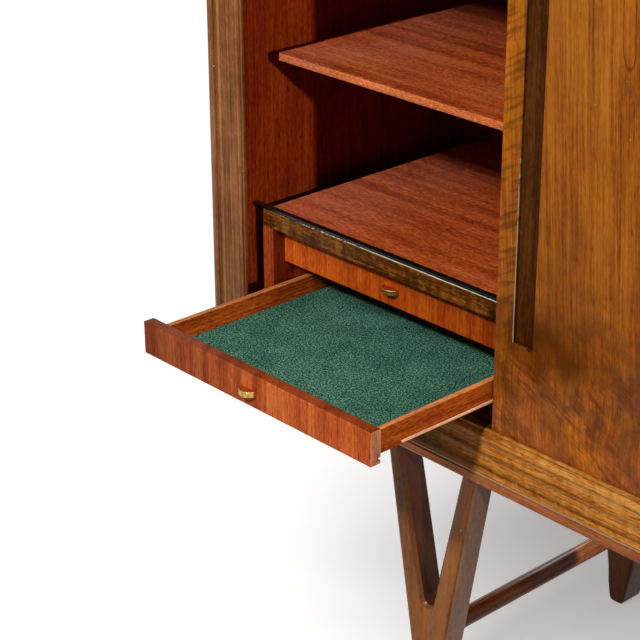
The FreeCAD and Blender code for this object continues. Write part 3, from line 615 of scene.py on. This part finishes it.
# a leg's outer faces: half width at the floor, lean in degrees, the rounding of the arrises and how far it grows
# its inner faces: how high they start, how far in they are, and the share of the painted shade that their bevels get
legLook = {"foot": 0.0125, "lean": 9.74, "fillet": 0.0025, "growth": 3.0, "rise": (0.03, 0.06),
           "crotch": 0.175, "inner": 0.01, "bevelShare": 0.5, "bevelTurn": (0.4, 0.9), "slack": 1e-5, "top": 1e-4}


def fromOutside(middle, point):  # distance from a leg's outer face, and which side that is
    across = point.x - middle
    lean = math.radians(legLook["lean"])
    return (legLook["foot"] + point.z * math.tan(lean) - abs(across)) * math.cos(lean), math.copysign(1, across)


def roundLeg(shape, node):  # the outer arrises grow rounder above the foot
    low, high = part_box(node)
    for level in legLook["rise"]:
        cutAcross(shape, 2, level)
    lean = math.radians(legLook["lean"])
    slack = legLook["slack"]
    reach = legLook["fillet"] + slack
    for vert in shape.verts:
        inX, side = fromOutside((low.x + high.x) / 2, vert.co)
        front = vert.co.y < (low.y + high.y) / 2
        inY = vert.co.y - low.y if front else high.y - vert.co.y
        if vert.co.z > legLook["rise"][1] - slack and inX < reach and inY < reach:
            vert.co.x -= side * inX * (legLook["growth"] - 1) / math.cos(lean)
            vert.co.y += inY * (legLook["growth"] - 1) * (1 if front else -1)


def markInside(mesh, node):  # the faces between the arms, and more faintly their bevels
    low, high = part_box(node)
    flat, front = legLook["bevelTurn"]
    marks = []
    for face in mesh.polygons:
        between = fromOutside((low.x + high.x) / 2, face.center)[0] > legLook["inner"]
        between = between and legLook["crotch"] < face.center.z < high.z - legLook["top"]
        turned = abs(face.normal.y)
        marks.append(0.0 if not between or turned > front else 1.0 if turned < flat else legLook["bevelShare"])
    setMark(mesh, "innerFace", marks, "FACE")


# corner, worn ridge, crease with dirt and painted shade, hard edge: angles in degrees; widths of the marks in metres
edgeBand = {"sharp": 30, "square": 60, "crease": 12, "hard": 22, "flat": 0.2, "wear": 0.0025, "mouldingWear": 0.0012,
            "creaseDirtAndShade": 0.0016, "cut": 0.0026, "segments": 2}


def boardSeed(node):  # each board has a grain of its own
    return sum(ord(letter) * (i + 1) for i, letter in enumerate(node)) % 97 * 0.37


def easedPiece(node, material, ease):  # the board with its arrises taken off, marks for wear, and for dirt and painted shade
    shape = bmesh.new()
    shape.from_mesh(frame["nodes"][node].data)
    bmesh.ops.remove_doubles(shape, verts=shape.verts, dist=weld)
    if node.endswith("_leg"):
        roundLeg(shape, node)
    flat, limit, square, crease = (math.radians(edgeBand[k]) for k in ("flat", "sharp", "square", "crease"))
    bmesh.ops.dissolve_limit(shape, angle_limit=flat, verts=shape.verts, edges=shape.edges)
    joined = [e for e in shape.edges if len(e.link_faces) == 2]
    corners = [e for e in joined if e.calc_face_angle() > limit]
    ridges = [tuple(v.co.copy() for v in e.verts) for e in corners if e.is_convex and e.calc_face_angle() > square]
    creases = [tuple(v.co.copy() for v in e.verts) for e in joined
               if not e.is_convex and e.calc_face_angle() > crease]
    bmesh.ops.bevel(shape, geom=[e for e in corners if e.is_convex], offset=ease, offset_type="OFFSET",
                    segments=edgeBand["segments"], profile=0.5, affect="EDGES", clamp_overlap=True)
    low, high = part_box(node)
    for axis in range(3):
        for level in (low[axis] + edgeBand["cut"], high[axis] - edgeBand["cut"]):
            if high[axis] - low[axis] > 3 * edgeBand["cut"]:
                cutAcross(shape, axis, level)
    mesh = smoothed(meshOf(shape, node + "_board"), edgeBand["hard"])
    points = [v.co for v in mesh.vertices]
    reach = edgeBand["mouldingWear" if node.startswith("moulding") else "wear"]
    setMark(mesh, "edgeWear", [nearness(p, ridges, reach) for p in points])
    setMark(mesh, "cavity", [nearness(p, creases, edgeBand["creaseDirtAndShade"]) for p in points])
    setMark(mesh, "boardSeed", [boardSeed(node)] * len(points))
    if node.endswith("_leg"):
        markInside(mesh, node)
    addPiece(node + "_board", mesh, node, material)
    if node == "back_panel":  # bare plywood outside
        mesh.materials.append(finish("plywood", "x"))
        for face in mesh.polygons:
            face.material_index = int(face.normal.y > 0.5)


# each board: finish, grain axis and how far its arrises are taken off, in metres
drawers = ("lower_drawer", "upper_drawer")
boards = {
    "base_board": ("walnutFascia", "x", 0.0003), "top_board": ("walnutCase", "x", 0.0003),
    "moulding_bottom": ("walnutBase", "x", 0.0002), "moulding_top": ("walnutHead", "x", 0.0002),
    "floor_board": ("mahogany", "x", 0.0004), "back_panel": ("mahoganyDark", "x", 0.0004),
    "base_back_rail": ("plywood", "x", 0.0008), "lower_track": ("walnutLeg", "x", 0.0004),
    "upper_track": ("walnutLeg", "x", 0.0004), "centre_shelf": ("mahogany", "x", 0.0003),
    "case_top": ("mahogany", "x", 0.0004), "case_rail": ("walnutRail", "x", 0.0008),
    "case_bead": ("ebonised", "x", 0.0009), "case_guide_block": ("mahoganyDark", "y", 0.0006),
    "lower_drawer_front": ("lowerFront", "z", 0.0005), "upper_drawer_front": ("upperFront", "z", 0.0005),
}
pairedBoards = {  # a left and a right one of each
    "{}_side": ("walnutCase", "z", 0.0006), "moulding_{}": ("walnutFrame", "z", 0.0002),
    "{}_lining": ("mahoganyDark", "z", 0.0004), "{}_divider": ("mahoganyDark", "z", 0.0005),
    "{}_shelf": ("mahogany", "x", 0.0003), "{}_bearer": ("mahoganyDark", "y", 0.0008),
    "case_{}_side": ("mahoganyDark", "y", 0.0005), "case_{}_stile": ("mahoganyPost", "z", 0.0006),
    "{}_door": ("veneer", "", 0.0006), "{}_door_pull": ("walnutDark", "z", 0.0004),
    "front_{}_leg": ("walnutLeg", "z", 0.0005), "back_{}_leg": ("walnutLeg", "z", 0.0005),
    "{}_stretcher": ("walnutRod", "y", 0.0005),
}
for drawer in drawers:
    pairedBoards[drawer + "_{}_side"] = ("drawerSide", "y", 0.0007)
    pairedBoards[drawer + "_{}_slip"] = ("beech", "y", 0.0005)
    boards[drawer + "_back"] = ("drawerSide", "x", 0.0007)
    boards[drawer + "_bottom"] = ("plywood", "x", 0.0004)
for pattern, look in pairedBoards.items():
    boards.update({pattern.format(side): look for side in ("left", "right")})
for node, (wood, axis, ease) in boards.items():
    easedPiece(node, finish(wood, axis), ease)
frame["nodes"]["leg_dowels"].data.materials[0] = finish("beech", "z")
print("boards:", len(boards))


def baizeLiner(node):  # felt cut to the drawer's inside, with an uneven pile
    low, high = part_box(node)
    size = high - low
    steps = [max(2, round(size[i] / baizeLook["cell"])) for i in range(2)]
    shape = bmesh.new()
    bmesh.ops.create_grid(shape, x_segments=steps[0], y_segments=steps[1], size=0.5)
    for vert in shape.verts:
        x, y = vert.co.x + 0.5, vert.co.y + 0.5
        point = Vector((low.x + size.x * x, low.y + size.y * y, 0))
        rim = min(x * size.x, (1 - x) * size.x, y * size.y, (1 - y) * size.y)
        pressed = max(0.0, 1 - rim / baizeLook["rim"]) * baizeLook["pressed"]
        pile = 0.5 + sum(noise.noise(point * fine) * most for fine, most in (baizeLook["tufts"], baizeLook["waves"]))
        vert.co = (point.x, point.y, high.z - baizeLook["pile"] * (pressed + 1 - min(1.0, max(0.0, pile))))
    felt = addPiece(node + "_felt", smoothed(meshOf(shape, node + "_felt")), node, finish("baize"))
    thick = felt.modifiers.new("thickness", "SOLIDIFY")
    thick.thickness = size.z - 2 * baizeLook["pile"]
    thick.offset = -1


for drawer in drawers:
    baizeLiner(drawer + "_liner")
print("baize laid")


# half outline of the tab, radius and height in millimetres
tabSection = ((0, 7.2), (9.6, 7.2), (11.4, 7.45), (12.3, 7.95), (13.1, 8.0), (13.7, 7.7), (14.0, 7.1), (13.8, 5.6),
              (13.6, 4.0), (13.7, 2.4), (13.9, 1.2), (13.7, 0.4), (13.2, 0.0), (0, 0.0))
tabLook = {"steps": 36, "sharp": 40, "section": tabSection}


def brassTab(node):  # half-moon pull with a dished top and a hollowed edge
    low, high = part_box(node)
    size = high - low
    radius, top = (max(point[i] for point in tabLook["section"]) for i in range(2))
    middle = Vector(((low.x + high.x) / 2, high.y, low.z))
    shape = bmesh.new()
    rings = []
    for step in range(tabLook["steps"] + 1):
        turn = math.pi * (1 + step / tabLook["steps"])
        ring = []
        for out, up in tabLook["section"]:
            across = math.cos(turn) * out / radius * size.x / 2
            forward = math.sin(turn) * out / radius * size.y
            ring.append(shape.verts.new(middle + Vector((across, forward, up / top * size.z))))
        rings.append(ring)
    for first, second in zip(rings, rings[1:]):
        for i in range(len(first) - 1):
            shape.faces.new((first[i], first[i + 1], second[i + 1], second[i]))
    shape.faces.new(rings[0])
    shape.faces.new(rings[-1][::-1])
    bmesh.ops.remove_doubles(shape, verts=shape.verts, dist=weld)
    bmesh.ops.recalc_face_normals(shape, faces=shape.faces)
    addPiece(node + "_brass", smoothed(meshOf(shape, node + "_brass"), tabLook["sharp"]), node, finish("brass"))


for drawer in drawers:
    brassTab(drawer + "_tab")
print("brass tabs set")


# slotted screws round the back panel: sizes in metres, pitch from screw to screw
screwLook = {"radius": 0.0036, "height": 0.0011, "round": 0.0005, "slot": 0.0004, "depth": 0.0006, "sides": 28,
             "sharp": 35, "inset": 0.011, "pitch": 0.21, "seed": 5}


def screwHead():  # low round head whose axis is Y, with a driver's slot
    shape = bmesh.new()
    bmesh.ops.create_circle(shape, cap_ends=True, segments=screwLook["sides"], radius=screwLook["radius"],
                            matrix=Matrix.Rotation(-math.pi / 2, 4, "X"))
    raised = bmesh.ops.extrude_face_region(shape, geom=list(shape.faces))["geom"]
    top = [v for v in raised if isinstance(v, bmesh.types.BMVert)]
    bmesh.ops.translate(shape, verts=top, vec=(0, screwLook["height"], 0))
    edges = [e for e in shape.edges if all(v in top for v in e.verts)]
    bmesh.ops.bevel(shape, geom=edges, offset=screwLook["round"], segments=3, profile=0.5, affect="EDGES")
    for level in (-screwLook["slot"], screwLook["slot"]):
        cutAcross(shape, 0, level)
    level = screwLook["height"] - screwLook["round"] - weld
    slot = [f for f in shape.faces if abs(f.calc_center_median().x) < screwLook["slot"] * 0.9
            and f.calc_center_median().y > level and f.normal.y > 0.3]
    sunk = bmesh.ops.extrude_face_region(shape, geom=slot)["geom"]
    bmesh.ops.delete(shape, geom=slot, context="FACES_ONLY")
    for vert in sunk:
        if isinstance(vert, bmesh.types.BMVert):
            vert.co.y = screwLook["height"] - screwLook["depth"]
    bmesh.ops.recalc_face_normals(shape, faces=shape.faces)
    return meshOf(shape, "screwHead")


def screwSpots(node):  # a row of points along each side of the panel
    low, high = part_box(node)
    inset = screwLook["inset"]
    wide, tall = high.x - low.x - 2 * inset, high.z - low.z - 2 * inset
    across, upward = round(wide / screwLook["pitch"]), round(tall / screwLook["pitch"])
    spots = []
    for x in (low.x + inset, high.x - inset):
        spots += [(x, high.y, low.z + inset + tall * i / upward) for i in range(upward + 1)]
    for z in (low.z + inset, high.z - inset):
        spots += [(low.x + inset + wide * i / across, high.y, z) for i in range(1, across)]
    return spots


def screwTree():  # sets a head on each point, turned at random about its axis
    tree = bpy.data.node_groups.new("screwRow", "GeometryNodeTree")
    face = tree.interface
    names = {}
    for name, kind in (("Geometry", "Geometry"), ("Head", "Object"), ("Metal", "Material"), ("Seed", "Int")):
        names[name] = face.new_socket(name, in_out="INPUT", socket_type="NodeSocket" + kind).identifier
    face.new_socket("Geometry", in_out="OUTPUT", socket_type="NodeSocketGeometry")
    given = tree.nodes.new("NodeGroupInput").outputs
    result = tree.nodes.new("NodeGroupOutput").inputs
    points = tree.nodes.new("GeometryNodeMeshToPoints")
    head = tree.nodes.new("GeometryNodeObjectInfo")
    turn = tree.nodes.new("FunctionNodeRandomValue")
    turn.data_type = "FLOAT_VECTOR"
    turn.inputs["Max"].default_value = (0, math.tau, 0)
    row = tree.nodes.new("GeometryNodeInstanceOnPoints")
    real = tree.nodes.new("GeometryNodeRealizeInstances")
    metal = tree.nodes.new("GeometryNodeSetMaterial")
    for source, target in (
            (given["Geometry"], points.inputs["Mesh"]), (given["Head"], head.inputs["Object"]),
            (given["Seed"], turn.inputs["Seed"]), (points.outputs[0], row.inputs["Points"]),
            (head.outputs["Geometry"], row.inputs["Instance"]), (turn.outputs[0], row.inputs["Rotation"]),
            (row.outputs[0], real.inputs[0]), (real.outputs[0], metal.inputs["Geometry"]),
            (given["Metal"], metal.inputs["Material"]), (metal.outputs[0], result["Geometry"])):
        tree.links.new(source, target)
    return tree, names


def backScrews(node):
    head = addObject("screwHead", screwHead())
    mesh = bpy.data.meshes.new("screwSpots")
    mesh.from_pydata(screwSpots(node), [], [])
    row = addObject("screwSpots", mesh)
    tree, names = screwTree()
    layout = row.modifiers.new("screws", "NODES")
    layout.node_group = tree
    for name, value in {"Head": head, "Metal": finish("brass"), "Seed": screwLook["seed"]}.items():
        layout[names[name]] = value
    bpy.context.view_layer.update()
    result = bpy.data.meshes.new_from_object(row.evaluated_get(bpy.context.evaluated_depsgraph_get()))
    result.name = "back_screws"
    for thing in (row, head):
        bpy.data.objects.remove(thing)
    result.set_sharp_from_angle(angle=math.radians(screwLook["sharp"]))
    screws = addObject("back_screws", result)
    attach(screws, bodyOf[node])
    print("screws:", len(result.polygons), "faces")


backScrews("back_panel")


# stage: pale floor, lamps and camera; the floor bounces little light but looks white

floorLook = {"size": 30, "bounce": 0.3, "seenMore": 0.58, "lift": 0.3}
worldLook = {"fill": 0.05, "seenMore": 0.95}


def seenRays(tree):  # 1 for what the camera sees, straight or in gloss and glass
    rays = put(tree, "LightPath").outputs
    return calc(tree, "MAXIMUM", rays["Is Camera Ray"],
                calc(tree, "MAXIMUM", rays["Is Glossy Ray"], rays["Is Transmission Ray"]))


def paleFloor():
    bpy.ops.mesh.primitive_plane_add(size=floorLook["size"])
    floor = bpy.context.object
    floor.name = "floor"
    material, tree = newFinish("paleFloor")
    seen = seenRays(tree)
    share = timesPlus(tree, seen, floorLook["seenMore"], floorLook["bounce"])
    matt = put(tree, "BsdfDiffuse", {"Color": share})
    lift = put(tree, "Emission", {"Strength": times(tree, seen, floorLook["lift"])})
    close(tree, put(tree, "AddShader", {0: matt.outputs[0], 1: lift.outputs[0]}))
    floor.data.materials.append(material)


def surroundings():
    world = bpy.data.worlds.new("studio")
    scene.world = world
    world.use_nodes = True
    tree = world.node_tree
    tree.nodes.clear()
    strength = timesPlus(tree, seenRays(tree), worldLook["seenMore"], worldLook["fill"])
    light = put(tree, "Background", {"Color": (1, 1, 1, 1), "Strength": strength})
    output = put(tree, "OutputWorld")
    tree.links.new(light.outputs[0], output.inputs["Surface"])


# lamps: place and size in metres, level at the target, and what they miss besides the floor or light alone
bayWalls = ("left_lining_board", "back_panel_board")
footBoards = ("moulding_bottom_board", "base_board_board")
lamps = {
    "front": {"place": (-0.15, -2.012, 2.161), "size": 0.2, "level": 0.7, "misses": bayWalls},
    "upper": {"place": (0.1, -1.196, 1.946), "size": 0.3, "level": 0.22, "misses": bayWalls + footBoards[:1]},
    "bay": {"place": (3.2, -1.27, 1.9), "size": 0.1, "level": 0.62, "lights": bayWalls},
    "right": {"place": (3.2, -1.27, 1.9), "size": 0.12, "level": 0.14, "misses": bayWalls + footBoards},
    "rim": {"place": (4.0, -0.219, 1.86), "size": 0.1, "level": 0.34, "misses": footBoards},
    "back": {"place": (-2.4, 3.0, 3.2), "size": 1.5, "level": 0.4},
    "sill": {"place": (0.6, -2.2, 0.35), "size": 0.2, "level": 0.16, "lights": footBoards[1:]},
    "low": {"place": (1.5, 1.5, 2.6), "size": 0.1, "level": 1.6, "lights": ("left_stretcher_board",)},
}
lampTarget = Vector((-0.6, -0.15, 0.75))
# large soft light for the floor alone, its angles in degrees
overhead = {"level": 1.12, "spread": 48, "front": 40, "right": 3, "lights": ("floor",)}


def receivers(lamp, name):
    chosen = bpy.data.collections.new(name + "Receivers")
    for thing in lamp.get("lights", ("floor", *lamp.get("misses", ()))):
        chosen.objects.link(bpy.data.objects[thing])
    for row in chosen.collection_objects:
        row.light_linking.link_state = "INCLUDE" if "lights" in lamp else "EXCLUDE"
    return chosen


def addLamp(name, kind, lamp):
    data = bpy.data.lights.new(name, kind)
    thing = addObject(name, data)
    thing.light_linking.receiver_collection = receivers(lamp, name)
    return thing, data


def setLamps():
    for name, lamp in lamps.items():
        thing, data = addLamp(name, "AREA", lamp)
        way = Vector(lamp["place"]) - lampTarget
        data.size = lamp["size"]
        data.energy = lamp["level"] * math.pi ** 2 * way.length_squared
        thing.location = lamp["place"]
        thing.rotation_mode = "QUATERNION"
        thing.rotation_quaternion = way.to_track_quat("Z", "Y")
    thing, data = addLamp("overhead", "SUN", overhead)
    data.energy = overhead["level"] * math.pi
    data.angle = math.radians(overhead["spread"])
    thing.rotation_euler = (math.radians(overhead["front"]), math.radians(overhead["right"]), 0)


camera = {"place": (1.0028, -1.8057, 1.5941), "turn": 47.6875, "down": 24.3192, "roll": -0.24256,
          "lens": 105.476, "sensor": 36, "far": 50}  # degrees, millimetres and metres


def setCamera():
    turn, down, roll = (math.radians(camera[k]) for k in ("turn", "down", "roll"))
    forward = Vector((-math.sin(turn) * math.cos(down), math.cos(turn) * math.cos(down), -math.sin(down)))
    level = Vector((math.cos(turn), math.sin(turn), 0))
    right = level * math.cos(roll) + level.cross(forward) * math.sin(roll)
    up = right.cross(forward)
    data = bpy.data.cameras.new("camera")
    data.lens = camera["lens"]
    data.sensor_width = camera["sensor"]
    data.clip_end = camera["far"]
    thing = addObject("camera", data)
    turned = Matrix((right, up, -forward)).transposed().to_4x4()
    thing.matrix_world = Matrix.Translation(camera["place"]) @ turned
    scene.camera = thing


paleFloor()
surroundings()
setLamps()
setCamera()
print("stage set")
